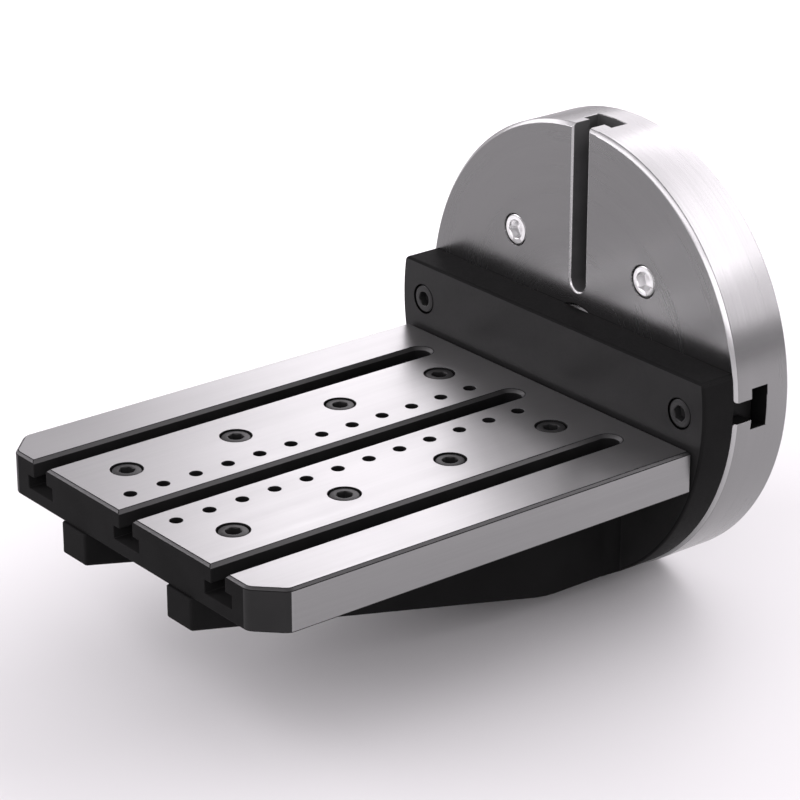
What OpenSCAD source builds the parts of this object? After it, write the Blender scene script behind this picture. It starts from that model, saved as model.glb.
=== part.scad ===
// L-block for a horizontal rotary axis: a slotted face plate, an angle bracket clamped on it,
// and a T-slotted table plate on the bracket's two ribs.
// The origin is the centre of the face plate's back, on the spindle axis. Z is up, the face plate
// looks towards -X, and the table reaches away from it towards -X.

/* [Face plate] */
// Outside diameter of the face plate
face_d = 255; // [240:1:300]
// Thickness of the face plate
face_t = 40; // [36:1:60]
// Chamfer around both rims of the face plate
face_chamfer = 2; // [0.5:0.5:3]
// Diameter of the centre bore
bore_d = 45; // [30:1:50]
// Chamfer at the front mouth of the centre bore
bore_chamfer = 1.5; // [0.5:0.5:2]

/* [Face plate T-slots] */
// Distance from the spindle axis to the centre of each slot's round end
face_slot_start = 37.5; // [37:0.5:44]
// Width of the slot neck
face_slot_w = 12; // [12:0.5:14]
// Depth of the slot neck
face_neck_depth = 12; // [10:0.5:14]
// Width of the slot head
face_head_w = 23; // [21:0.5:25]
// Height of the slot head
face_head_h = 11; // [9.5:0.5:13]
// Chamfer along the slot mouths
face_slot_chamfer = 1; // [0.5:0.5:1.5]

/* [Face plate screws] */
// Circle on which the four face plate screws lie
face_screw_pcd = 150; // [130:1:180]
// Nominal diameter of the face plate screws
face_screw_d = 12; // [10:1:12]
// Head diameter of the face plate screws
face_screw_head_d = 18; // [17:0.5:19]
// Hexagon of the face plate screws, across flats
face_screw_hex = 10; // [8:1:10]
// How far the screws stand out behind the face plate
face_screw_out = 18; // [12:1:30]
// How deep the heads sit below the face
face_screw_sink = 0.25; // [0.25:0.25:1.5]
// Room around a face plate screw in its hole, on each side, wide because the bore centres the plate
face_through_play = 1.25; // [0.5:0.25:1.5]
// Room around a face plate screw's head in its counterbore, on each side
face_head_play = 0.25; // [0.25:0.25:1]
// Chamfer at the mouths of the face plate's counterbores
face_hole_chamfer = 0.25; // [0.25:0.25:1]

/* [Angle bracket] */
// Step between the rim of the face plate and the outline of the back plate
plate_step = 1; // [0:0.5:5]
// Thickness of the back plate
plate_t = 22; // [20:1:35]
// Height of the back plate's flat top edge above the spindle axis
plate_rise = 22; // [16:1:40]
// Chamfer on the edges of the back plate
plate_chamfer = 1; // [0.5:0.5:2]
// Chamfer at the mouths of the back plate's counterbores
plate_hole_chamfer = 0.25; // [0.25:0.25:1]
// Chamfer on the two upper corners of the back plate
plate_corner = 2; // [1:0.5:6]
// Thickness of each rib
rib_t = 22; // [20:1:26]
// How far the ribs stand out past the free end of the table
rib_proud = 1.5; // [0.5:0.5:5]
// Height of each rib at its free end
rib_tip_h = 17.5; // [16:0.5:30]
// Length of the straight lower edge of each rib next to the back plate
rib_flat = 48; // [30:1:80]
// Radius of the bend in each rib's lower edge
rib_bend_r = 80; // [20:5:120]
// Chamfer on the upright edges at each rib's free end
rib_edge = 1; // [0.5:0.5:2]
// Fillet between the ribs and the back plate
rib_fillet = 8; // [3:1:12]

/* [Table plate] */
// Reach of the table, from the back plate to its free end
reach = 280; // [262:1:330]
// Gap between the table plate and the back plate
table_gap = 1.5; // [0.5:0.5:3]
// Width of the table plate
table_w = 238; // [225:1:255]
// Thickness of the table plate
table_t = 24; // [20:1:32]
// Depth of the table's upper face below the spindle axis
table_drop = 17.5; // [12:0.5:24]
// Cut across the two corners at the free end
corner_cut = 15; // [10:1:20]
// Rounding of the edges of each corner cut
corner_r = 7; // [3:0.5:9]
// Chamfer around the table's upper face
table_chamfer = 1.5; // [0.5:0.5:2]
// Chamfer around the table's lower face
table_under_chamfer = 0.5; // [0.25:0.25:1]

/* [Table T-slots] */
// Distance between neighbouring slots
slot_pitch = 80; // [76:1:84]
// Distance from the back plate to the centre of each slot's round end
slot_stop = 25; // [20:1:60]
// Width of the slot neck
table_slot_w = 12; // [10:0.5:14]
// Depth of the slot neck
table_neck_depth = 9.5; // [7:0.5:10]
// Width of the slot head
table_head_w = 23; // [19:0.5:24]
// Height of the slot head
table_head_h = 7.5; // [6:0.5:8]
// Chamfer along the slot mouths
table_slot_chamfer = 2; // [0.5:0.5:2.5]

/* [Tapped holes in the table] */
// Number of holes in each row
tapped_n = 12; // [4:2:12]
// Distance between neighbouring holes of a row
tapped_pitch = 20.5; // [15:0.5:20.5]
// Distance between the two rows
tapped_rows = 41; // [34:1:44]
// Distance from the table's free end to the first hole
tapped_first = 17; // [12:1:19]
// Core diameter of the tapped holes
tapped_d = 6.8; // [5:0.1:8.5]

/* [Table screws] */
// Distance between the two rows of screws, and between the ribs' middle planes
rib_pitch = 95; // [90:1:98]
// Number of screws in each row
table_screw_n = 4; // [2:1:4]
// Distance between neighbouring screws of a row
table_screw_pitch = 70; // [50:1:72]
// Distance from the table's free end to the first screw
table_screw_first = 33; // [26:1:34]
// Nominal diameter of the table screws
table_screw_d = 10; // [8:1:12]
// Head diameter of the table screws
table_screw_head_d = 16; // [15:0.5:18]
// Hexagon of the table screws, across flats
table_screw_hex = 8; // [6:1:8]
// How deep the heads sit below the table's upper face
table_screw_sink = 0.5; // [0.25:0.25:1.5]
// Room around a table screw's head in its counterbore, on each side
table_head_play = 0.75; // [0.25:0.25:1]
// Length of thread that a table screw has in its rib
table_screw_grip = 18; // [12:1:18]

/* [Clamp screws and T-nuts] */
// Distance from the rim of the face plate to each clamp screw
clamp_edge = 20; // [20:0.5:30]
// Nominal diameter of the clamp screws
clamp_d = 10; // [8:1:10]
// Head diameter of the clamp screws
clamp_head_d = 16; // [15:0.5:18]
// Hexagon of the clamp screws, across flats
clamp_hex = 8; // [6:1:8]
// How deep the heads sit below the back plate's face
clamp_sink = 0.25; // [0.25:0.25:1]
// Room around a clamp screw's head in its counterbore, on each side
clamp_head_play = 0.25; // [0.25:0.25:1]
// Length of each T-nut along its slot
nut_len = 22; // [18:1:26]
// Thickness of each T-nut's wide base
nut_base_t = 8; // [6:0.5:9]
// Play between a T-nut's base and each side of the slot head
nut_side_play = 1; // [0.5:0.25:2]

/* [Tenon keys] */
// Distance between a clamp screw and the middle of the key beside it
key_gap = 39.5; // [36:0.5:43]
// Length of each key
key_len = 25; // [20:1:30]
// Depth of each key in the bracket
key_in_plate = 4; // [3:0.5:6]
// Depth of each key in the slot neck
key_in_slot = 6; // [4:0.5:8]
// Nominal diameter of the key screws
key_screw_d = 5; // [4:0.5:5]
// Head diameter of the key screws
key_screw_head_d = 8.5; // [7:0.5:9]
// Hexagon of the key screws, across flats
key_screw_hex = 4; // [3:0.5:4]
// How deep the heads sit below the keys' faces
key_screw_sink = 0.5; // [0.25:0.25:1]
// Room around a key screw's head, on each side
key_head_play = 0.5; // [0.25:0.25:0.75]
// Length of thread that a key screw has in the bracket
key_screw_grip = 7.5; // [6:0.5:10]

/* [Fits] */
// Room around a screw in its through hole, on each side
through_play = 0.5; // [0.25:0.25:1]
// Room around a thread in its tapped hole, on each side
thread_play = 0.05; // [0.02:0.01:0.1]
// Room between a key or a T-nut's neck and each side of the slot
slot_play = 0.05; // [0.02:0.01:0.2]

/* [Hidden] */
$fn = 96;
// Overshoot of a cut past the face that it opens
over = 0.5;
// Share of a screw's diameter that its head is high, and that its socket is deep
head_share = 1;
socket_share = 0.5;
// Edge break on the screws
screw_break = 0.8;
// Spare depth of a tapped hole below the screw in it
tap_spare = 2;
// Distance from the tip of a clamp screw to the back of its T-nut
nut_tip_room = 1.5;
// Distance from the face to the top of a T-nut's neck
nut_neck_sink = 4;
// Number of straight steps in the bend of a rib's lower edge
bend_steps = 8;

// Places along the spindle axis, from the face plate's back to the table's free end
face_front = -face_t;
plate_front = face_front - plate_t;
table_back = plate_front - table_gap;
table_end = plate_front - reach;
rib_end = table_end - rib_proud;

// Heights
table_top = -table_drop;
table_under = table_top - table_t;

// Outline of the back plate, and the depth at which the ribs' outer sides meet it
plate_r = face_d / 2 - plate_step;
rib_y = rib_pitch / 2;
rib_root = -sqrt(pow(plate_r, 2) - pow(rib_y + rib_t / 2, 2));

// Distances from the spindle axis to the clamp screws and to the middles of the keys
clamp_r = face_d / 2 - clamp_edge;
key_at = clamp_r - key_gap;

// Width of the keys, and depths of the counterbores
key_w = face_slot_w - 2 * slot_play;
face_sink_depth = face_screw_d * head_share + face_screw_sink;
table_sink_depth = table_screw_d * head_share + table_screw_sink;
clamp_sink_depth = clamp_d * head_share + clamp_sink;
key_sink_depth = key_screw_d * head_share + key_screw_sink;

// Lengths of the screws below their heads
face_screw_len = face_t - face_sink_depth + face_screw_out;
table_screw_len = table_t - table_sink_depth + table_screw_grip;
clamp_len = plate_t - clamp_sink_depth + face_neck_depth + nut_base_t - nut_tip_room;
key_t = key_in_plate + key_in_slot;
key_screw_len = key_t - key_sink_depth + key_screw_grip;

// Places of the screws: quarter turns around the axis, and rows along the table
face_screw_angles = [45, 135, 225, 315];
// The clamp screws sit at the left, at the right and below the axis, seen from the table
clamp_angles = [0, 180, 270];
key_angles = [0, 180];
table_screw_spots = [for (side = [1, -1], i = [0:table_screw_n - 1])
    [table_end + table_screw_first + i * table_screw_pitch, side * rib_y]];
tapped_spots = [for (side = [1, -1], i = [0:tapped_n - 1])
    [table_end + tapped_first + i * tapped_pitch, side * tapped_rows / 2]];

// Outline of the table plate, anticlockwise, and the rounding of each of its corners
table_outline = [
    [table_back, table_w / 2],
    [table_end + corner_cut, table_w / 2],
    [table_end, table_w / 2 - corner_cut],
    [table_end, corner_cut - table_w / 2],
    [table_end + corner_cut, -table_w / 2],
    [table_back, -table_w / 2]
];
table_rounding = [0, corner_r, corner_r, corner_r, corner_r, 0];

// Direction of the edge of an outline that starts at corner i
function edge_angle(p, i) = let (a = p[i], b = p[(i + 1) % len(p)]) atan2(b[1] - a[1], b[0] - a[0]);
// Angle by which an anticlockwise outline turns at corner i
function turn(p, i) = (edge_angle(p, i) - edge_angle(p, (i + len(p) - 1) % len(p)) + 720) % 360;
// Length that the rounding at corner i takes from both of its edges
function taken(p, r, i) = r[i] * tan(turn(p, i) / 2);
// Points where the rounding at corner i starts and ends
function round_start(p, r, i) = let (a = edge_angle(p, (i + len(p) - 1) % len(p)))
    p[i] - taken(p, r, i) * [cos(a), sin(a)];
function round_end(p, r, i) = let (a = edge_angle(p, i)) p[i] + taken(p, r, i) * [cos(a), sin(a)];
// Centre of the rounding at corner i
function round_centre(p, r, i) = let (a = edge_angle(p, i))
    round_end(p, r, i) + r[i] * [-sin(a), cos(a)];

// Flat shape with the outline p and its corners rounded
module rounded_outline(p, r) {
    polygon([for (i = [0:len(p) - 1]) each
        (r[i] > 0 ? [round_start(p, r, i), round_end(p, r, i)] : [p[i]])]);
    for (i = [0:len(p) - 1])
        if (r[i] > 0) translate(round_centre(p, r, i)) circle(r[i]);
}

// Cut that chamfers the upper edge, at z = 0, of a plate with the outline p
module outline_chamfer(p, r, c) {
    for (i = [0:len(p) - 1]) {
        k = (i + 1) % len(p);
        before = r[i] > 0 ? taken(p, r, i) : -over;
        after = r[k] > 0 ? taken(p, r, k) : -over;
        translate(p[i]) rotate([0, 0, edge_angle(p, i)]) translate([before, 0, 0])
            rotate([90, 0, 90]) linear_extrude(norm(p[k] - p[i]) - before - after)
                polygon([[c + over, over], [-over, -c - over], [-over, over]]);
        if (r[i] > 0) translate(round_centre(p, r, i)) rotate([0, 0, edge_angle(p, i) - turn(p, i) - 90])
            rotate_extrude(angle = turn(p, i))
                polygon([[r[i] - c - over, over], [r[i] + over, -c - over], [r[i] + over, over]]);
    }
}

// Disc around the X axis from x = -t to x = 0, chamfered at both rims
module chamfered_disc(r, t, c) {
    rotate([0, -90, 0]) rotate_extrude()
        polygon([[0, 0], [r - c, 0], [r, c], [r, t - c], [r - c, t], [0, t]]);
}

// Slot-shaped block: a round end around the Z axis, and a straight run along +X
module slot_run(w, h, run) {
    cylinder(d = w, h = h);
    translate([0, -w / 2, 0]) cube([run, w, h]);
}

// Cutter for a T-slot whose mouth is at z = 0 and whose round end is around the Z axis
module t_slot(neck_w, neck_depth, head_w, head_h, c, run) {
    translate([0, 0, -neck_depth - head_h]) slot_run(head_w, head_h, run);
    translate([0, 0, -neck_depth - head_h / 2]) slot_run(neck_w, neck_depth + head_h / 2 + over, run);
    translate([0, 0, -c]) cylinder(d1 = neck_w, d2 = neck_w + 2 * (c + over), h = c + over);
    rotate([90, 0, 90]) linear_extrude(run) polygon([
        [-neck_w / 2, -c], [neck_w / 2, -c],
        [neck_w / 2 + c + over, over], [-neck_w / 2 - c - over, over]]);
}

// Cutter for a counterbored hole that goes down from z = 0
module counterbore(screw_d, head_d, play, sink_depth, depth, c, shank_play = through_play) {
    hole_d = head_d + 2 * play;
    translate([0, 0, -sink_depth]) cylinder(d = hole_d, h = sink_depth + over);
    translate([0, 0, -depth]) cylinder(d = screw_d + 2 * shank_play, h = depth);
    if (c > 0) translate([0, 0, -c]) cylinder(d1 = hole_d, d2 = hole_d + 2 * (c + over), h = c + over);
}

// Hole for a thread, from z = 0 downwards
module tapped(screw_d, depth) {
    translate([0, 0, -depth]) cylinder(d = screw_d + 2 * thread_play, h = depth + over);
}

// Socket head screw along Z: its head sits on z = 0 and its shank points down
module cap_screw(screw_d, head_d, hex, length) {
    head_h = screw_d * head_share;
    socket_depth = screw_d * socket_share;
    difference() {
        union() {
            cylinder(d = head_d, h = head_h - screw_break);
            translate([0, 0, head_h - screw_break])
                cylinder(d1 = head_d, d2 = head_d - 2 * screw_break, h = screw_break);
            translate([0, 0, screw_break - length]) cylinder(d = screw_d, h = length - screw_break);
            translate([0, 0, -length])
                cylinder(d1 = screw_d - 2 * screw_break, d2 = screw_d, h = screw_break);
        }
        translate([0, 0, head_h - socket_depth])
            cylinder(d = hex / cos(30), h = socket_depth + over, $fn = 6);
    }
}

// Turns what is drawn along Z so that +Z becomes -X, at the distance r and the angle a around the axis
module around_axis(x, r, a) {
    rotate([a, 0, 0]) translate([x, r, 0]) rotate([0, -90, 0]) children();
}

module face_plate() {
    color("silver") difference() {
        chamfered_disc(face_d / 2, face_t, face_chamfer);
        translate([over, 0, 0]) rotate([0, -90, 0]) cylinder(d = bore_d, h = face_t + 2 * over);
        translate([face_front + bore_chamfer, 0, 0]) rotate([0, -90, 0])
            cylinder(d1 = bore_d, d2 = bore_d + 2 * (bore_chamfer + over), h = bore_chamfer + over);
        for (a = [0:90:270]) rotate([a, 0, 0]) translate([face_front, 0, 0]) rotate([0, -90, 0])
            translate([face_slot_start, 0, 0]) t_slot(face_slot_w, face_neck_depth, face_head_w,
                face_head_h, face_slot_chamfer, face_d / 2);
        for (a = face_screw_angles) around_axis(face_front, face_screw_pcd / 2, a)
            counterbore(face_screw_d, face_screw_head_d, face_head_play, face_sink_depth, face_t + over,
                face_hole_chamfer, face_through_play);
    }
}

// Back plate: the outline of the face plate with a flat top edge
module back_plate() {
    corner_y = sqrt(pow(plate_r, 2) - pow(plate_rise, 2));
    difference() {
        translate([face_front, 0, 0]) chamfered_disc(plate_r, plate_t, plate_chamfer);
        translate([plate_front - over, -plate_r - over, plate_rise])
            cube([plate_t + 2 * over, 2 * (plate_r + over), plate_r]);
        // Chamfer along the front of the flat top edge
        translate([plate_front, plate_r, plate_rise]) rotate([90, 0, 0]) linear_extrude(2 * plate_r)
            polygon([[plate_chamfer + over, over], [-over, -plate_chamfer - over], [-over, over]]);
        // Chamfers on the two upper corners
        for (side = [0, 1]) mirror([0, side, 0]) translate([plate_front - over, corner_y, plate_rise])
            rotate([90, 0, 90]) linear_extrude(plate_t + 2 * over)
                polygon([[-plate_corner - over, over], [over, -plate_corner - over], [over, over]]);
    }
}

// Side view of a rib, x to the right and z up, with the bend of its lower edge as an arc
module rib_side() {
    corner = [plate_front - rib_flat, rib_root];
    tip = [rib_end, table_under - rib_tip_h];
    slope = atan2(tip[1] - corner[1], corner[0] - tip[0]);
    centre = corner + [rib_bend_r * tan(slope / 2), rib_bend_r];
    polygon(concat(
        [[plate_front + plate_t / 2, table_under], [rib_end, table_under], tip],
        [for (i = [0:bend_steps]) let (a = 270 - slope * (1 - i / bend_steps))
            centre + rib_bend_r * [cos(a), sin(a)]],
        [[plate_front + plate_t / 2, rib_root]]));
}

// Plan view of a rib, with chamfers at its free end and fillets at the back plate
module rib_plan() {
    polygon([
        [plate_front + plate_t / 2, rib_t / 2], [rib_end + rib_edge, rib_t / 2],
        [rib_end, rib_t / 2 - rib_edge], [rib_end, rib_edge - rib_t / 2],
        [rib_end + rib_edge, -rib_t / 2], [plate_front + plate_t / 2, -rib_t / 2]]);
    for (side = [0, 1]) mirror([0, side, 0]) translate([plate_front - rib_fillet, 0, 0]) difference() {
        square([rib_fillet + plate_t / 2, rib_t / 2 + rib_fillet]);
        translate([0, rib_t / 2 + rib_fillet, 0]) circle(rib_fillet);
    }
}

// Rib under the table, cut to the outline of the back plate
module rib(y) {
    span = rib_t + 2 * rib_fillet + 2 * over;
    intersection() {
        translate([0, y + span / 2, 0]) rotate([90, 0, 0]) linear_extrude(span) rib_side();
        translate([0, y, rib_root - over]) linear_extrude(table_under - rib_root + over) rib_plan();
        translate([face_front, 0, 0]) rotate([0, -90, 0])
            cylinder(r = plate_r, h = face_front - rib_end + over);
    }
}

module angle_bracket() {
    color([0.16, 0.16, 0.17]) difference() {
        union() {
            back_plate();
            rib(rib_y);
            rib(-rib_y);
        }
        for (a = clamp_angles) around_axis(plate_front, clamp_r, a)
            counterbore(clamp_d, clamp_head_d, clamp_head_play, clamp_sink_depth, plate_t + over,
                plate_hole_chamfer);
        for (a = key_angles) around_axis(face_front, key_at, a) {
            translate([-key_w / 2 - slot_play, -key_len / 2 - slot_play, -over])
                cube([key_w + 2 * slot_play, key_len + 2 * slot_play, key_in_plate + over]);
            mirror([0, 0, 1]) translate([0, 0, -key_in_plate])
                tapped(key_screw_d, key_screw_grip + tap_spare);
        }
        for (spot = table_screw_spots) translate([spot[0], spot[1], table_under])
            tapped(table_screw_d, table_screw_grip + tap_spare);
    }
}

module table_plate() {
    color("lightgray") difference() {
        translate([0, 0, table_under]) linear_extrude(table_t)
            rounded_outline(table_outline, table_rounding);
        translate([0, 0, table_top]) outline_chamfer(table_outline, table_rounding, table_chamfer);
        translate([0, 0, table_under]) mirror([0, 0, 1])
            outline_chamfer(table_outline, table_rounding, table_under_chamfer);
        for (y = [-1, 0, 1] * slot_pitch) translate([plate_front - slot_stop, y, table_top])
            rotate([0, 0, 180]) t_slot(table_slot_w, table_neck_depth, table_head_w, table_head_h,
                table_slot_chamfer, reach);
        for (spot = tapped_spots) translate([spot[0], spot[1], table_under - over])
            cylinder(d = tapped_d, h = table_t + 2 * over);
        for (spot = table_screw_spots) translate([spot[0], spot[1], table_top])
            counterbore(table_screw_d, table_screw_head_d, table_head_play, table_sink_depth,
                table_t + over, 0);
    }
}

module table_screw(i) {
    spot = table_screw_spots[i - 1];
    color([0.2, 0.2, 0.21]) translate([spot[0], spot[1], table_top - table_sink_depth])
        cap_screw(table_screw_d, table_screw_head_d, table_screw_hex, table_screw_len);
}

module clamp_screw(i) {
    color([0.2, 0.2, 0.21]) around_axis(plate_front + clamp_sink_depth, clamp_r, clamp_angles[i - 1])
        cap_screw(clamp_d, clamp_head_d, clamp_hex, clamp_len);
}

// T-nut in the head of a face plate slot, pulled against the slot's shoulders
module t_nut(i) {
    base_w = face_head_w - 2 * nut_side_play;
    neck_w = face_slot_w - 2 * slot_play;
    color([0.2, 0.2, 0.21])
        around_axis(face_front + face_neck_depth, clamp_r, clamp_angles[i - 1]) difference() {
            union() {
                translate([-base_w / 2, -nut_len / 2, -nut_base_t]) cube([base_w, nut_len, nut_base_t]);
                translate([-neck_w / 2, -nut_len / 2, 0])
                    cube([neck_w, nut_len, face_neck_depth - nut_neck_sink]);
            }
            translate([0, 0, face_neck_depth]) tapped(clamp_d, 2 * face_neck_depth + nut_base_t);
        }
}

module face_plate_screw(i) {
    color("gainsboro")
        around_axis(face_front + face_sink_depth, face_screw_pcd / 2, face_screw_angles[i - 1])
            cap_screw(face_screw_d, face_screw_head_d, face_screw_hex, face_screw_len);
}

// Key between the bracket and the slot neck, with the counterbore of its screw on the slot side
module tenon_key(i) {
    color([0.2, 0.2, 0.21]) around_axis(face_front, key_at, key_angles[i - 1]) difference() {
        translate([-key_w / 2, -key_len / 2, -key_in_slot]) cube([key_w, key_len, key_t]);
        mirror([0, 0, 1]) translate([0, 0, key_in_slot])
            counterbore(key_screw_d, key_screw_head_d, key_head_play, key_sink_depth, key_t + over, 0);
    }
}

module key_screw(i) {
    color([0.2, 0.2, 0.21])
        around_axis(face_front + key_in_slot - key_sink_depth, key_at, key_angles[i - 1])
            mirror([0, 0, 1]) cap_screw(key_screw_d, key_screw_head_d, key_screw_hex, key_screw_len);
}

face_plate();
angle_bracket();
table_plate();
for (i = [1:len(table_screw_spots)])
    table_screw(i);
for (i = [1:len(clamp_angles)])
    clamp_screw(i);
for (i = [1:len(clamp_angles)])
    t_nut(i);
for (i = [1:len(face_screw_angles)])
    face_plate_screw(i);
for (i = [1:len(key_angles)])
    tenon_key(i);
for (i = [1:len(key_angles)])
    key_screw(i);
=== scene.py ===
"""An L-block for a rotary axis on a pale studio floor: ground steel, black casting, socket head screws."""
import math
from collections import Counter

import bpy
from mathutils import Matrix, Vector


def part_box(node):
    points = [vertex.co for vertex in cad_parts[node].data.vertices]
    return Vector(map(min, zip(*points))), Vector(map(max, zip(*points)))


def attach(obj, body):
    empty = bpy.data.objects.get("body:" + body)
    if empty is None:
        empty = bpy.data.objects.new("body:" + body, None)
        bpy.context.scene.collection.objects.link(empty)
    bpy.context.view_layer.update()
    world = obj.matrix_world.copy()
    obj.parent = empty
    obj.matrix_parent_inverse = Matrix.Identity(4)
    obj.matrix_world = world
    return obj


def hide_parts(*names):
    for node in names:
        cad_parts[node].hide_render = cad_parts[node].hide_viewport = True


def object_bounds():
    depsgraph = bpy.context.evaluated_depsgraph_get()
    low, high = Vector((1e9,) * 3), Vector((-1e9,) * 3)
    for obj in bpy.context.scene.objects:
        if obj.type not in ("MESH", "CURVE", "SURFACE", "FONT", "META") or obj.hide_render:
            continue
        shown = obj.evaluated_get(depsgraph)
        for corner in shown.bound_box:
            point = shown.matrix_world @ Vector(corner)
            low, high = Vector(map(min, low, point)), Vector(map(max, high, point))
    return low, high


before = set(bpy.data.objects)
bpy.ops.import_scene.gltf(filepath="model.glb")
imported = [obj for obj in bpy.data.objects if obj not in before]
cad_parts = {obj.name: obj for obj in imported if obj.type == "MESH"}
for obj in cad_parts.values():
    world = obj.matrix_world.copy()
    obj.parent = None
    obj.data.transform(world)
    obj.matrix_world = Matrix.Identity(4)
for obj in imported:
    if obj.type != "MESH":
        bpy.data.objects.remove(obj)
cad_low, cad_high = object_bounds()
bpy.ops.object.select_all(action="DESELECT")

# Camera: place in metres, angles in degrees, lens and sensor in millimetres, end of its sight in metres
CAMERA_PLACE = (-1.14572, -1.23355, 0.66511)
CAMERA_DOWN = 22.901
CAMERA_TURN = -38.489
CAMERA_LENS = 144.17
SENSOR_WIDTH = 36
CLIP_END = 50

# Soft boxes: turn from +X and rise in degrees, distance, width and height in metres, brightness
SOFT_BOXES = {
    "right_box": (-12, 43, 1.8, 2.8, 0.62, 3.9),
    "low_box": (-46, 22, 1.8, 0.5, 0.8, 2.1),
    "back_box": (40, 28, 1.8, 1.25, 0.85, 2.0),
    "corner_box": (97, 24, 1.8, 0.6, 0.8, 2.0),
    "left_box": (134, 21, 1.8, 0.9, 0.5, 6.5),
    "front_box": (166, 51, 2.2, 3.0, 0.5, 2.0),
    "fill_box": (-136, 22, 2.2, 2.0, 1.1, 2.0),
}
LIT_POINT = (-0.1, 0, 0)
# The photo's faint cast, the same at every grey
LIGHT_COLOUR = (1.0, 0.955, 1.0)
ROOM_BRIGHTNESS = 0.6

# Floor: side in metres, the paper's grey, roughness and sheen, and the glow of its far side: strength,
# direction in degrees from +X, and the distances in metres where it starts and is full
FLOOR_SIDE = 12
FLOOR_GREY = 0.8
FLOOR_ROUGHNESS = 0.9
FLOOR_SHEEN = 0.1
FLOOR_GLOW = 0.3
GLOW_TURN = 85
GLOW_START, GLOW_FULL = 0.1, 0.5

# Lengths in metres: corners within MERGE become one, slivers thinner than SLIVER go, a corner within TOUCH
# and a face within NEAR of a plane lie on it, and three widths of broken edges
MM = 0.001
MERGE = 0.002 * MM
SLIVER = 0.01 * MM
TOUCH = 0.03 * MM
NEAR = 0.3 * MM
FACE_EDGE = 0.25 * MM
TABLE_EDGE = 0.25 * MM
CASTING_EDGE = 0.5 * MM

# Where finishes change: a band inside the rim and under the table's top, the surroundings of the bore,
# those of a face plate screw across its diagonal and along it, and the end of the table's cut corners
EDGE_BAND = 3 * MM
BORE_REACH = 26 * MM
SCREW_ACROSS, SCREW_ALONG = 14 * MM, 11 * MM
CUT_CORNER = 25 * MM

# Finishes on steel and on black, in metres: how far edges look rounded, and how deep a full relief is
STEEL_ROUNDING, BLACK_ROUNDING = 0.4 * MM, 0.7 * MM
STEEL_RELIEF, BLACK_RELIEF = 0.2 * MM, 0.3 * MM
# The range that most of a noise lies in
NOISE_RANGE = (0.3, 0.7)

# Angles in degrees
FLAT_ANGLE = 0.5
SHARP_ANGLE = 32

# Directions: a face is square to an axis above SQUARE, slopes above SLOPING and is curved above CURVED
SQUARE = 0.98
SLOPING = 0.3
CURVED = 0.05

# Socket head screws: nominal size, hexagon across flats, pitch and length of thread, in millimetres
M10 = (10, 8, 1.5, 24)
M12 = (12, 10, 1.75, 36)

# Thread: depth, start and end of the crest as shares of the pitch, steps in a turn, spare turns cut off
# at each end, chamfer of the tip, and how far the shank reaches into the thread
THREAD_DEPTH = 0.61
CREST_START, CREST_END = 0.42, 0.58
THREAD_STEPS = 32
SPARE_TURNS = 2
TIP_CHAMFER = 0.8 * MM
THREAD_OVERLAP = 0.2 * MM

# Head: crown as a share of its height, its steps in a quarter round, number and depth of the grooves
CROWN = 0.09
CROWN_STEPS = 3
KNURLS = 44
KNURL_DEPTH = 0.24 * MM

# Socket: reach of its corners as a share of the flats, play and cone of its mouth, and its drill point,
# whose radius and depth are shares of the flats too
SOCKET_REACH = 0.6
MOUTH_PLAY = 0.1 * MM
MOUTH_INWARDS, MOUTH_OUTWARDS, MOUTH_HEIGHT = 1.2 * MM, 0.6 * MM, 1.8 * MM
MOUTH_STEPS, DRILL_STEPS = 48, 24
DRILL_TIP = 0.1 * MM
DRILL_RADIUS, DRILL_DEPTH = 0.4, 0.24
DRILL_OVERLAP = 0.01 * MM

# Turn of the first screw of a kind, and how much further each next one is turned, in degrees
SPIN_START, SPIN_STEP = 11, 37


def select_only(piece):
    """Makes one piece the only selected and the active one."""
    bpy.ops.object.select_all(action="DESELECT")
    piece.select_set(True)
    bpy.context.view_layer.objects.active = piece


def new_object(name, data):
    """An object in the scene that shows a mesh, a lamp or a camera."""
    made = bpy.data.objects.new(name, data)
    bpy.context.scene.collection.objects.link(made)
    return made


def edit(piece, chosen=None, kind="FACE"):
    """Opens a piece for editing with the faces or vertices for which chosen is true selected."""
    select_only(piece)
    bpy.context.tool_settings.mesh_select_mode = (kind == "VERT", False, kind == "FACE")
    bpy.ops.object.mode_set(mode="EDIT")
    bpy.ops.mesh.select_all(action="DESELECT")
    bpy.ops.object.mode_set(mode="OBJECT")
    if chosen:
        for part in piece.data.polygons if kind == "FACE" else piece.data.vertices:
            part.select = bool(chosen(part))
    bpy.ops.object.mode_set(mode="EDIT")


def edit_all(piece):
    """Opens a piece for editing with everything selected."""
    edit(piece)
    bpy.ops.mesh.select_all(action="SELECT")


def done():
    """Closes the piece that is being edited."""
    bpy.ops.object.mode_set(mode="OBJECT")


def apply(piece, kind, name, **settings):
    """Adds one modifier to a piece and applies it."""
    select_only(piece)
    modifier = piece.modifiers.new(name, kind)
    for key, value in settings.items():
        setattr(modifier, key, value)
    bpy.ops.object.modifier_apply(modifier=name)


def smooth(piece):
    """Smooth shading that keeps the real edges sharp."""
    select_only(piece)
    bpy.ops.object.shade_smooth_by_angle(angle=math.radians(SHARP_ANGLE))


def place(piece):
    """Moves the piece's place and turn into its mesh."""
    select_only(piece)
    bpy.ops.object.transform_apply(location=True, rotation=True, scale=True)


def combine(piece, other, operation):
    """Cuts another solid from a piece, joins it on or keeps what both share, and removes that other solid."""
    apply(piece, "BOOLEAN", "combine", object=other, operation=operation, solver="EXACT")
    bpy.data.objects.remove(other)


# Node tools

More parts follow.
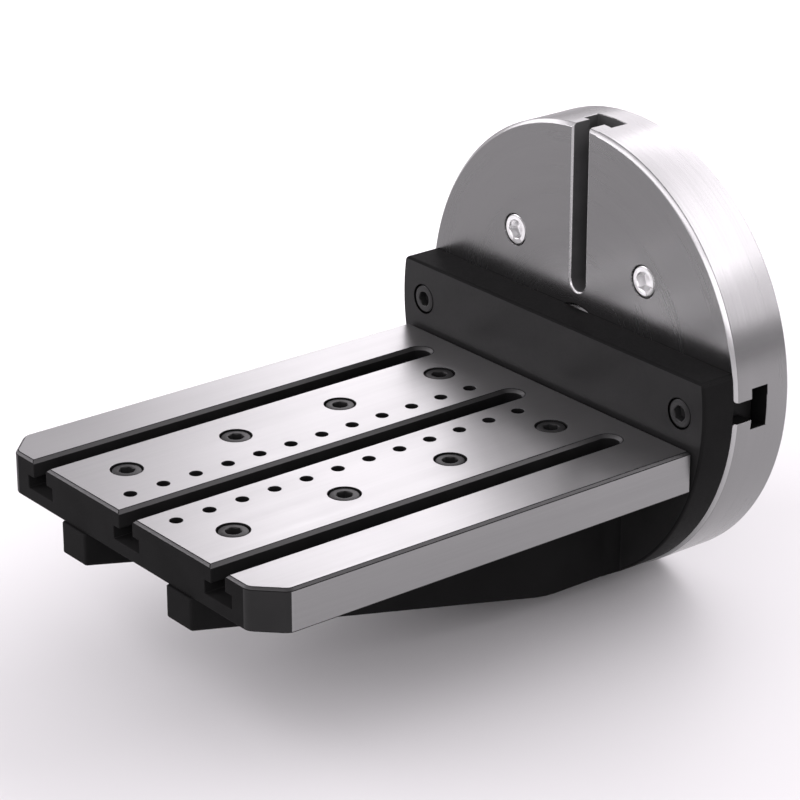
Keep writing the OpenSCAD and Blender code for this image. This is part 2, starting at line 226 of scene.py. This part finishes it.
def add(tree, kind, inputs=None, **settings):
    """A new node, with its settings, and its inputs linked or filled in."""
    made = tree.nodes.new(kind)
    for key, value in settings.items():
        setattr(made, key, value)
    for key, value in (inputs or {}).items():
        if isinstance(value, bpy.types.NodeSocket):
            tree.links.new(value, made.inputs[key])
        else:
            made.inputs[key].default_value = value
    return made


def math_node(tree, operation, first, second=0.0, clamp=False):
    """The result of one sum, product or the like."""
    return add(tree, "ShaderNodeMath", {0: first, 1: second}, operation=operation, use_clamp=clamp).outputs[0]


def vector_value(tree, operation, inputs):
    """The number that one sum of vectors gives, such as a length."""
    return add(tree, "ShaderNodeVectorMath", inputs, operation=operation).outputs["Value"]


def spread(tree, value, low, high, to_low=0.0, to_high=1.0, **settings):
    """A value taken from one range to another."""
    return add(tree, "ShaderNodeMapRange", {
        "Value": value, "From Min": low, "From Max": high, "To Min": to_low, "To Max": to_high,
    }, **settings).outputs["Result"]


def noise(tree, at, scale, detail, rough):
    """Soft noise, mostly within NOISE_RANGE."""
    return add(tree, "ShaderNodeTexNoise", {
        "Vector": at, "Scale": scale, "Detail": detail, "Roughness": rough}).outputs["Fac"]


def object_place(tree):
    """Coordinates on the piece, in metres."""
    return add(tree, "ShaderNodeTexCoord").outputs["Object"]


def colour_mix(tree, share, first, second):
    """A colour between two colours, each a socket or three numbers."""
    first, second = (
        colour if isinstance(colour, bpy.types.NodeSocket) else (*colour, 1.0) for colour in (first, second))
    return add(tree, "ShaderNodeMix", {0: share, 6: first, 7: second}, data_type="RGBA").outputs[2]


def new_group(name, inputs, outputs):
    """An empty node group with its sockets, given as (name, kind) pairs."""
    group = bpy.data.node_groups.new(name, "ShaderNodeTree")
    for label, kind in inputs:
        group.interface.new_socket(label, in_out="INPUT", socket_type="NodeSocket" + kind)
    for label, kind in outputs:
        group.interface.new_socket(label, in_out="OUTPUT", socket_type="NodeSocket" + kind)
    return group, group.nodes.new("NodeGroupInput").outputs, group.nodes.new("NodeGroupOutput").inputs


def make_machined_lines():
    """Fine lines left by a grinding wheel or a lathe, in coordinates stretched along them."""
    broad_scale, fine_share = 120.0, 0.6
    group, given, result = new_group(
        "machined_lines", [("Vector", "Vector"), ("Fine", "Float")], [("Lines", "Float")])
    fine = noise(group, given["Vector"], given["Fine"], 4.0, 0.65)
    broad = noise(group, given["Vector"], broad_scale, 2.0, 0.5)
    fine_part = math_node(group, "MULTIPLY", fine, fine_share)
    broad_part = math_node(group, "MULTIPLY", broad, 1 - fine_share)
    group.links.new(math_node(group, "ADD", fine_part, broad_part), result["Lines"])
    return group


def make_edge_rub_and_highlight():
    """Where an edge has lost its finish and turns lighter, partly as a painted edge highlight, and the normal
    of that edge as slightly rounded.
    """
    # Cosine between the flat and the rounded normal, at the start of an edge and well on it
    on_flat, on_edge = 0.995, 0.88
    patch_scale, patch_range, least_wear = 60.0, (0.35, 0.7), 0.15
    group, given, result = new_group(
        "edge_rub_and_highlight", [("Radius", "Float"), ("Amount", "Float")], [("Rub and highlight", "Float"), ("Normal", "Vector")])
    rounded = add(group, "ShaderNodeBevel", {"Radius": given["Radius"]}, samples=4).outputs["Normal"]
    flat = add(group, "ShaderNodeNewGeometry").outputs["Normal"]
    along = vector_value(group, "DOT_PRODUCT", {0: rounded, 1: flat})
    edge = spread(group, along, on_flat, on_edge)
    patch = noise(group, object_place(group), patch_scale, 5.0, 0.7)
    worn_and_lit = math_node(group, "MULTIPLY", edge, spread(group, patch, *patch_range, least_wear, 1.0))
    group.links.new(math_node(group, "MULTIPLY", worn_and_lit, given["Amount"], True), result["Rub and highlight"])
    group.links.new(rounded, result["Normal"])
    return group


def make_cast_grain():
    """The skin of a fine casting: soft pits on a gentle roll."""
    roll_scale, roll_share = 0.05, 0.6
    group, given, result = new_group(
        "cast_grain", [("Vector", "Vector"), ("Scale", "Float")], [("Height", "Float"), ("Tone", "Float")])
    pits = noise(group, given["Vector"], given["Scale"], 3.0, 0.6)
    roll = noise(group, given["Vector"], math_node(group, "MULTIPLY", given["Scale"], roll_scale), 3.0, 0.55)
    height = math_node(group, "ADD", pits, math_node(group, "MULTIPLY", roll, roll_share))
    group.links.new(height, result["Height"])
    group.links.new(roll, result["Tone"])
    return group


MACHINED_LINES = make_machined_lines()
EDGE_RUB_AND_HIGHLIGHT = make_edge_rub_and_highlight()
CAST_GRAIN = make_cast_grain()


def new_material(name):
    """A material with an empty tree and one principled shader."""
    material = bpy.data.materials.new(name)
    material.use_nodes = True
    tree = material.node_tree
    tree.nodes.clear()
    shader = tree.nodes.new("ShaderNodeBsdfPrincipled")
    output = tree.nodes.new("ShaderNodeOutputMaterial")
    tree.links.new(shader.outputs[0], output.inputs["Surface"])
    return material, tree, shader


def grouped(tree, group, inputs):
    """The outputs of one of the node groups above, placed in a material."""
    return add(tree, "ShaderNodeGroup", inputs, node_tree=group).outputs


def set_relief(tree, shader, strength, distance, height, normal):
    """Gives a shader fine relief over the rounded normal of the edges."""
    bump = add(tree, "ShaderNodeBump", {
        "Strength": strength, "Distance": distance, "Height": height, "Normal": normal})
    tree.links.new(bump.outputs[0], shader.inputs["Normal"])


def straight(tree, stretch):
    """Object coordinates, drawn out along the lines of a straight finish."""
    return add(tree, "ShaderNodeMapping", {"Vector": object_place(tree), "Scale": stretch}).outputs["Vector"]


def turned(tree, stretch):
    """Coordinates of a lathe's lines around the X axis: radius, place along the axis, and angle."""
    split = add(tree, "ShaderNodeSeparateXYZ", {0: object_place(tree)}).outputs
    flat = add(tree, "ShaderNodeCombineXYZ", {1: split["Y"], 2: split["Z"]}).outputs[0]
    radius = vector_value(tree, "LENGTH", {0: flat})
    angle = math_node(tree, "ARCTAN2", math_node(tree, "ABSOLUTE", split["Y"]), split["Z"])
    polar = add(tree, "ShaderNodeCombineXYZ", {0: radius, 1: split["X"], 2: angle}).outputs[0]
    return add(tree, "ShaderNodeMapping", {"Vector": polar, "Scale": stretch}).outputs["Vector"]


def bare_steel(name, pattern, stretch, dark, light, rough, fine, relief):
    """Machined steel: lines in colour, roughness and height, with faint hand marks over them."""
    line_rough, mark_rough, mark_scale = 0.03, 0.02, 14.0
    material, tree, shader = new_material(name)
    lines = grouped(tree, MACHINED_LINES, {"Vector": pattern(tree, stretch), "Fine": fine})["Lines"]
    share = spread(tree, lines, *NOISE_RANGE)
    tree.links.new(colour_mix(tree, share, (dark,) * 3, (light,) * 3), shader.inputs["Base Color"])
    mark = noise(tree, object_place(tree), mark_scale, 3.0, 0.5)
    marked = spread(tree, mark, *NOISE_RANGE, -mark_rough, mark_rough)
    lined = spread(tree, lines, *NOISE_RANGE, rough + line_rough, rough - line_rough)
    tree.links.new(math_node(tree, "ADD", lined, marked), shader.inputs["Roughness"])
    rounded = grouped(tree, EDGE_RUB_AND_HIGHLIGHT, {"Radius": STEEL_ROUNDING})["Normal"]
    set_relief(tree, shader, relief, STEEL_RELIEF, lines, rounded)
    shader.inputs["Metallic"].default_value = 1.0
    return material


def black_finish(name, dark, light, worn_and_lit, rough, grain, relief, amount, sheen):
    """Blackened metal with a grained skin, rubbed thin along its edges, whose lighter grey there is partly a
    painted edge highlight.
    """
    # Low and high skin are this much smoother and rougher, and a worn edge is smoother by the polish
    tone_range, height_range = (0.35, 0.65), (0.5, 1.1)
    smoother, rougher, polish = 0.05, 0.07, 0.12
    material, tree, shader = new_material(name)
    skin = grouped(tree, CAST_GRAIN, {"Vector": object_place(tree), "Scale": grain})
    rub_and_highlight = grouped(tree, EDGE_RUB_AND_HIGHLIGHT, {"Radius": BLACK_ROUNDING, "Amount": amount})
    tone = colour_mix(tree, spread(tree, skin["Tone"], *tone_range), (dark,) * 3, (light,) * 3)
    # Worn edges turn grey, partly as a painted edge highlight
    tree.links.new(colour_mix(tree, rub_and_highlight["Rub and highlight"], tone, (worn_and_lit,) * 3), shader.inputs["Base Color"])
    skin_rough = spread(tree, skin["Height"], *height_range, rough - smoother, rough + rougher)
    polished = math_node(tree, "SUBTRACT", skin_rough, math_node(tree, "MULTIPLY", rub_and_highlight["Rub and highlight"], polish))
    tree.links.new(polished, shader.inputs["Roughness"])
    set_relief(tree, shader, relief, BLACK_RELIEF, skin["Height"], rub_and_highlight["Normal"])
    shader.inputs["Specular IOR Level"].default_value = sheen
    return material


# Steels: pattern of the lines and its stretch, dark and light grey, roughness, scale and relief of the lines
STEELS = {
    "table_top_steel": (straight, (0.02, 1, 1), 0.44, 0.46, 0.33, 700.0, 0.025),
    # The ground sides: the top's steel painted darker, as painted shade
    "table_side_steel_painted_shade": (straight, (0.02, 1, 1), 0.27, 0.29, 0.36, 800.0, 0.05),
    "face_steel": (turned, (1, 0, 0.002), 0.18, 0.19, 0.26, 900.0, 0.012),
    "rim_steel": (turned, (0, 1, 0.002), 0.25, 0.27, 0.26, 1100.0, 0.02),
    # The rim chamfer's light grey is partly a bright cut and partly a painted highlight
    "edge_steel": (turned, (1, 1, 0.002), 0.46, 0.49, 0.24, 1100.0, 0.02),
    "slot_edge_steel": (straight, (1, 1, 1), 0.46, 0.50, 0.28, 900.0, 0.02),
    "screw_bright": (straight, (1, 1, 1), 0.40, 0.46, 0.24, 500.0, 0.02),
    # Near white inside the bright screws' sockets: a painted highlight
    "socket_painted_highlight": (straight, (1, 1, 1), 0.78, 0.86, 0.30, 500.0, 0.02),
}

# Blacks: dark and light grey, grey where worn (partly a painted edge highlight), roughness, scale and relief
# of the grain, wear, sheen
BLACKS = {
    # Painted light: the upper face plate slot's grey, as if lit from above
    "slot_grey_painted_light": (0.060, 0.075, 0.10, 0.45, 900.0, 0.05, 0.25, 0.4),
    # Painted shade: the other face plate slots, darker than the rest of the black
    "slot_black_painted_shade": (0.004, 0.006, 0.03, 0.45, 900.0, 0.05, 0.25, 0.1),
    "table_black": (0.009, 0.012, 0.05, 0.50, 900.0, 0.05, 0.35, 0.02),
    "table_edge_black": (0.014, 0.018, 0.05, 0.42, 900.0, 0.04, 0.25, 0.55),
    "table_corner_black": (0.010, 0.014, 0.05, 0.42, 900.0, 0.04, 0.25, 0.22),
    "casting_black": (0.009, 0.011, 0.04, 0.50, 620.0, 0.10, 0.30, 0.02),
    # The back plate's machined front, painted lighter as painted light
    "front_black_machined_and_painted_light": (0.013, 0.016, 0.04, 0.44, 620.0, 0.06, 0.30, 0.15),
    "screw_black": (0.015, 0.020, 0.08, 0.34, 1200.0, 0.04, 0.5, 0.22),
    "nut_black": (0.006, 0.009, 0.03, 0.42, 1000.0, 0.04, 0.3, 0.08),
}

FINISHES = {name: bare_steel(name, *look) for name, look in STEELS.items()}
FINISHES.update({name: black_finish(name, *look) for name, look in BLACKS.items()})


# The three large pieces: the frame's own shapes, with whole faces, small edge breaks and finishes by place

def loose_flaps(mesh):
    """The faces that no neighbour closes: what is left of a sliver thinner than MERGE."""
    uses = Counter(key for polygon in mesh.polygons for key in polygon.edge_keys)
    return {polygon.index for polygon in mesh.polygons if all(uses[key] != 2 for key in polygon.edge_keys)}


def cleaned_copy(node_name, piece_name):
    """A copy of a node's mesh with its triangles merged into whole flat faces."""
    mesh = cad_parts[node_name].data.copy()
    mesh.name = piece_name
    mesh.materials.clear()
    piece = new_object(piece_name, mesh)
    select_only(piece)
    bpy.ops.mesh.customdata_custom_splitnormals_clear()
    edit_all(piece)
    bpy.ops.mesh.remove_doubles(threshold=MERGE)
    done()
    flaps = loose_flaps(piece.data)
    edit(piece, lambda face: face.index in flaps)
    bpy.ops.mesh.delete(type="FACE")
    bpy.ops.mesh.select_all(action="SELECT")
    # The second pass takes the slivers that lay on others
    for _ in range(2):
        bpy.ops.mesh.dissolve_degenerate(threshold=SLIVER)
    bpy.ops.mesh.select_all(action="SELECT")
    bpy.ops.mesh.dissolve_limited(angle_limit=math.radians(FLAT_ANGLE))
    done()
    return piece


def finish_by_place(piece, names, choose):
    """Gives each face the finish whose number in the list choose(centre, normal) returns."""
    for name in names:
        piece.data.materials.append(FINISHES[name])
    for polygon in piece.data.polygons:
        polygon.material_index = choose(polygon.center, polygon.normal)


def break_edges(piece, width, material=-1):
    """A small bevel along every real edge, then smooth shading that leaves the flat faces flat."""
    apply(piece, "BEVEL", "edge_break", width=width, segments=1, limit_method="ANGLE",
          angle_limit=math.radians(SHARP_ANGLE), use_clamp_overlap=False, material=material)
    smooth(piece)
    apply(piece, "WEIGHTED_NORMAL", "flat_faces", mode="FACE_AREA", weight=100, keep_sharp=True)


def hand_over(piece, slot, *nodes):
    """The piece rides on the part and stands for its nodes; its material slot is not used."""
    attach(piece, "root")
    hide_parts(*nodes)


def distance_out(low, high):
    """Distance of a box's middle from the X axis."""
    return math.hypot((low.y + high.y) / 2, (low.z + high.z) / 2)


def make_face_plate():
    """Turned face and rim, black T-slots with bright chamfers, the upper slot painted grey as painted light
    and the others darker as painted shade.
    """
    low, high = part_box("face_plate")
    radius = high.y
    screw_ring = distance_out(*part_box("face_plate_screw_1"))
    piece = cleaned_copy("face_plate", "face_plate_turned")
    names = ["face_steel", "rim_steel", "edge_steel", "slot_edge_steel", "slot_grey_painted_light", "slot_black_painted_shade"]
    face, rim, edge, slot_edge, painted_light_slot, slot = range(6)

    def choose(centre, normal):
        out = math.hypot(centre.y, centre.z)
        across = abs(abs(centre.y) - abs(centre.z))
        # Rim chamfers take the lighter steel, partly a painted highlight
        if SLOPING < abs(normal.x) < SQUARE:
            return edge if out > radius - EDGE_BAND else slot_edge
        if abs(normal.x) > SQUARE and min(centre.x - low.x, high.x - centre.x) < NEAR:
            return face
        if out > radius - EDGE_BAND and abs(normal.x) < SLOPING:
            return rim
        if out < BORE_REACH or (across < SCREW_ACROSS and abs(out - screw_ring) < SCREW_ALONG):
            return face
        # The upper slot gets the painted light, the others the painted shade
        return painted_light_slot if centre.z > abs(centre.y) else slot

    finish_by_place(piece, names, choose)
    break_edges(piece, FACE_EDGE)
    hand_over(piece, "face_plate_steel", "face_plate")


def make_table_plate():
    """Ground top and sides, the sides painted darker than the top as painted shade, the rest black, with a
    light haze on the top's chamfers and the cut corners.
    """
    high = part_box("table_plate")[1]
    piece = cleaned_copy("table_plate", "table_plate_ground")
    names = ["table_top_steel", "table_side_steel_painted_shade", "table_edge_black", "table_corner_black", "table_black"]
    top, side, edge, corner, black = range(5)

    def choose(centre, normal):
        if normal.z > SQUARE and centre.z > high.z - NEAR:
            return top
        # The ground sides take the darker copy: painted shade
        if abs(normal.y) > SQUARE and abs(centre.y) > high.y - NEAR:
            return side
        if SLOPING < normal.z < SQUARE and centre.z > high.z - EDGE_BAND:
            return edge
        if normal.x < -SLOPING and abs(normal.y) > CURVED and abs(centre.y) > high.y - CUT_CORNER:
            return corner
        return black

    finish_by_place(piece, names, choose)
    break_edges(piece, TABLE_EDGE, material=black)
    hand_over(piece, "table_steel", "table_plate")


def make_angle_bracket():
    """Black casting in one piece, its back plate machined on the front and painted lighter there as painted
    light.
    """
    table_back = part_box("table_plate")[1].x
    piece = cleaned_copy("angle_bracket", "angle_bracket_cast")
    casting, front = range(2)
    # The machined front gets the lighter black: painted light
    finish_by_place(
        piece, ["casting_black", "front_black_machined_and_painted_light"],
        lambda centre, normal: front if normal.x < -SQUARE and centre.x > table_back else casting)
    break_edges(piece, CASTING_EDGE, material=casting)
    hand_over(piece, "black_casting", "angle_bracket")


# Socket head screws

def threaded_rod(size, pitch, length):
    """A closed piece of thread from z = 0 down, at its full outer diameter."""
    crest = size / 2
    root = crest - THREAD_DEPTH * pitch
    profile = [(root, 0), (crest, CREST_START * pitch), (crest, CREST_END * pitch), (root, pitch)]
    mesh = bpy.data.meshes.new("thread")
    mesh.from_pydata([(r, 0, z) for r, z in profile], [(i, i + 1) for i in range(len(profile) - 1)], [])
    rod = new_object("thread", mesh)
    turns = math.ceil(length / pitch) + 2 * SPARE_TURNS
    rod.location = (0, 0, -length - SPARE_TURNS * pitch)
    place(rod)
    apply(rod, "SCREW", "helix", axis="Z", angle=math.tau, screw_offset=pitch, iterations=turns,
          steps=THREAD_STEPS, render_steps=THREAD_STEPS, use_merge_vertices=True, merge_threshold=MERGE)
    for height, outwards in ((0, 1), (-length, -1)):
        edit_all(rod)
        bpy.ops.mesh.bisect(
            plane_co=(0, 0, height), plane_no=(0, 0, outwards), use_fill=True, clear_outer=True)
        done()
    edit_all(rod)
    bpy.ops.mesh.remove_doubles(threshold=MERGE)
    bpy.ops.mesh.normals_make_consistent(inside=False)
    done()
    return rod


def tapered_blank(size, length):
    """A wide blank whose lower end is a cone: what it shares with a threaded rod has a chamfered tip."""
    bpy.ops.mesh.primitive_cylinder_add(
        vertices=THREAD_STEPS * 2, radius=size, depth=length + size, location=(0, 0, (size - length) / 2))
    blank = bpy.context.object
    place(blank)
    edit(blank, lambda face: face.normal.z < -SQUARE)
    bpy.ops.mesh.extrude_region_move()
    tip_share = (size / 2 - TIP_CHAMFER) / size
    bpy.ops.transform.resize(value=(tip_share, tip_share, 1), center_override=(0, 0, -length))
    done()

    def on_rim(corner):
        return corner.co.z < -length + TOUCH and math.hypot(corner.co.x, corner.co.y) > size / 2

    edit(blank, on_rim, "VERT")
    bpy.ops.transform.translate(value=(0, 0, size / 2 + TIP_CHAMFER))
    done()
    return blank


def knurled_head(size, radius):
    """A screw's head above z = 0, with a crowned top and knurled sides."""
    crown = CROWN * size
    bpy.ops.mesh.primitive_cylinder_add(
        vertices=2 * KNURLS, radius=radius, depth=size - crown, location=(0, 0, (size - crown) / 2))
    head = bpy.context.object
    place(head)
    # Crown: the top face drawn up and in
    for step in range(CROWN_STEPS):
        last = math.radians(90 / CROWN_STEPS * step)
        turn = math.radians(90 / CROWN_STEPS * (step + 1))
        edit(head, lambda face: face.normal.z > SQUARE)
        bpy.ops.mesh.extrude_region_move()
        bpy.ops.transform.translate(value=(0, 0, crown * (math.sin(turn) - math.sin(last))))
        shrink = (radius - crown * (1 - math.cos(turn))) / (radius - crown * (1 - math.cos(last)))
        bpy.ops.transform.resize(value=(shrink, shrink, 1), center_override=(0, 0, size))
        done()
    # Knurling: every second corner of the side set back
    spacing = math.tau / (2 * KNURLS)
    set_back = (radius - KNURL_DEPTH) / radius

    def in_groove(corner):
        number = round(math.atan2(corner.co.y, corner.co.x) / spacing)
        return corner.co.z < size - crown + TOUCH and number % 2

    edit(head, in_groove, "VERT")
    bpy.ops.transform.resize(value=(set_back, set_back, 1), center_override=(0, 0, 0))
    done()
    return head


def cut_socket(screw, size, flats):
    """A hexagon socket half as deep as the head, with a chamfered mouth and a drill point."""
    corner = flats / 2 / math.cos(math.radians(30))
    bpy.ops.mesh.primitive_cylinder_add(vertices=6, radius=corner, depth=size, location=(0, 0, size))
    combine(screw, bpy.context.object, "DIFFERENCE")
    mouth = corner + MOUTH_PLAY
    bpy.ops.mesh.primitive_cone_add(
        vertices=MOUTH_STEPS, radius1=mouth - MOUTH_INWARDS, radius2=mouth + MOUTH_OUTWARDS,
        depth=MOUTH_HEIGHT, location=(0, 0, size))
    combine(screw, bpy.context.object, "DIFFERENCE")
    depth = flats * DRILL_DEPTH
    bpy.ops.mesh.primitive_cone_add(
        vertices=DRILL_STEPS, radius1=DRILL_TIP, radius2=flats * DRILL_RADIUS, depth=depth,
        location=(0, 0, size / 2 - depth / 2 + DRILL_OVERLAP))
    combine(screw, bpy.context.object, "DIFFERENCE")


def socket_screw(spec, head_width, length):
    """A socket head screw along Z: knurled head above z = 0, shank and thread below it."""
    size, flats, pitch, thread_length = (value * MM for value in spec)
    screw = knurled_head(size, head_width / 2)
    # Shank, down to a little below where the thread starts
    edit(screw, lambda face: face.normal.z < -SQUARE)
    bpy.ops.mesh.inset(thickness=head_width / 2 - KNURL_DEPTH - size / 2)
    bpy.ops.mesh.extrude_region_move()
    bpy.ops.transform.translate(value=(0, 0, thread_length - length - THREAD_OVERLAP))
    done()
    cut_socket(screw, size, flats)
    rod = threaded_rod(size, pitch, thread_length)
    rod.location = (0, 0, thread_length - length)
    place(rod)
    combine(rod, tapered_blank(size, length), "INTERSECT")
    combine(screw, rod, "UNION")
    smooth(screw)
    return screw


def place_screws(master, nodes, slot, head):
    """One copy of a screw for each node, turned and set as the node lies, each at its own angle."""
    lay_down = Matrix.Rotation(-math.pi / 2, 4, "Y")
    for number, node_name in enumerate(nodes):
        low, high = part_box(node_name)
        middle = (low + high) / 2
        spin = Matrix.Rotation(math.radians(SPIN_STEP * number + SPIN_START), 4, "Z")
        if "table" in node_name:
            where = Matrix.Translation((middle.x, middle.y, high.z - head)) @ spin
        else:
            where = Matrix.Translation((low.x + head, middle.y, middle.z)) @ lay_down @ spin
        mesh = master.data.copy()
        mesh.transform(where)
        screw = new_object(node_name + "_detailed", mesh)
        mesh.name = screw.name
        hand_over(screw, slot, node_name)
    bpy.data.objects.remove(master)


def make_screws():
    """The three kinds of socket head screw that show."""
    black, bright = ["screw_black", "screw_black"], ["screw_bright", "socket_painted_highlight"]
    for kind, spec, outside_and_socket, slot in (
            ("table_screw", M10, black, "black_screw"),
            ("clamp_screw", M10, black, "black_screw"),
            ("face_plate_screw", M12, bright, "bright_screw")):
        nodes = [name for name in sorted(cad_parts) if name.startswith(kind)]
        low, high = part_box(nodes[0])
        # A socket screw's head is as high as the screw is thick
        head = spec[0] * MM
        master = socket_screw(spec, min(high - low), max(high - low) - head)
        socket_radius = SOCKET_REACH * spec[1] * MM
        master.data.materials.clear()
        # The inside of a bright screw's socket gets the painted highlight
        finish_by_place(master, outside_and_socket, lambda centre, normal: int(
            centre.z > 0 and math.hypot(centre.x, centre.y) < socket_radius))
        place_screws(master, nodes, slot, head)


def dress_small_parts():
    """T-nuts, keys and key screws keep their own shapes and get their finish."""
    for name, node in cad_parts.items():
        if name.startswith(("t_nut", "tenon_key", "key_screw")):
            finish = "screw_black" if name.startswith("key_screw") else "nut_black"
            node.data.materials.clear()
            node.data.materials.append(FINISHES[finish])


make_face_plate()
make_table_plate()
make_angle_bracket()
make_screws()
dress_small_parts()


# Studio: floor, lamps, camera

def seen_directly(tree):
    """One for what the camera itself sees, nothing for mirrored views and for the light on other things."""
    return add(tree, "ShaderNodeLightPath").outputs["Is Camera Ray"]


def direction(turn, rise):
    """The direction that many degrees round from +X and up."""
    turn, rise = math.radians(turn), math.radians(rise)
    return Vector((math.cos(rise) * math.cos(turn), math.cos(rise) * math.sin(turn), math.sin(rise)))


def make_floor():
    """A pale floor under the lowest edge of the part, which runs into white behind it."""
    bpy.ops.mesh.primitive_plane_add(size=FLOOR_SIDE, location=(0, 0, cad_low.z))
    floor = bpy.context.object
    floor.name = "studio_floor"
    place(floor)
    material, tree, shader = new_material("floor_paper")
    shader.inputs["Base Color"].default_value = (FLOOR_GREY,) * 3 + (1,)
    shader.inputs["Roughness"].default_value = FLOOR_ROUGHNESS
    shader.inputs["Specular IOR Level"].default_value = FLOOR_SHEEN
    far = vector_value(tree, "DOT_PRODUCT", {0: object_place(tree), 1: direction(GLOW_TURN, 0)})
    glow = spread(tree, far, GLOW_START, GLOW_FULL, 0.0, FLOOR_GLOW, interpolation_type="SMOOTHSTEP")
    shader.inputs["Emission Color"].default_value = (1, 1, 1, 1)
    tree.links.new(math_node(tree, "MULTIPLY", glow, seen_directly(tree)), shader.inputs["Emission Strength"])
    floor.data.materials.append(material)


def make_soft_box(name, turn, rise, distance, width, height, brightness):
    """A rectangular area lamp that faces the part, as bright as a wall of that brightness."""
    lamp = bpy.data.lights.new(name, "AREA")
    lamp.shape = "RECTANGLE"
    lamp.size = width
    lamp.size_y = height
    lamp.energy = math.pi * brightness * width * height
    lamp.color = LIGHT_COLOUR
    box = new_object(name, lamp)
    away = distance * direction(turn, rise)
    box.location = Vector(LIT_POINT) + away
    box.rotation_euler = away.to_track_quat("Z", "Y").to_euler()
    box.visible_camera = False


def make_light():
    """A dim even room that looks white to the camera, and soft boxes."""
    world = bpy.data.worlds.new("studio_room")
    bpy.context.scene.world = world
    world.use_nodes = True
    tree = world.node_tree
    dim = tuple(part * ROOM_BRIGHTNESS for part in LIGHT_COLOUR)
    shown = colour_mix(tree, seen_directly(tree), dim, (1.0, 1.0, 1.0))
    tree.links.new(shown, tree.nodes["Background"].inputs["Color"])
    for name, place_and_size in SOFT_BOXES.items():
        make_soft_box(name, *place_and_size)


def make_camera():
    """The photograph's viewpoint."""
    camera = new_object("camera", bpy.data.cameras.new("camera"))
    camera.location = CAMERA_PLACE
    camera.rotation_euler = (math.radians(90 - CAMERA_DOWN), 0, math.radians(CAMERA_TURN))
    camera.data.sensor_width = SENSOR_WIDTH
    camera.data.lens = CAMERA_LENS
    camera.data.clip_end = CLIP_END
    bpy.context.scene.camera = camera


make_floor()
make_light()
make_camera()
bpy.context.scene.view_settings.view_transform = "Standard"
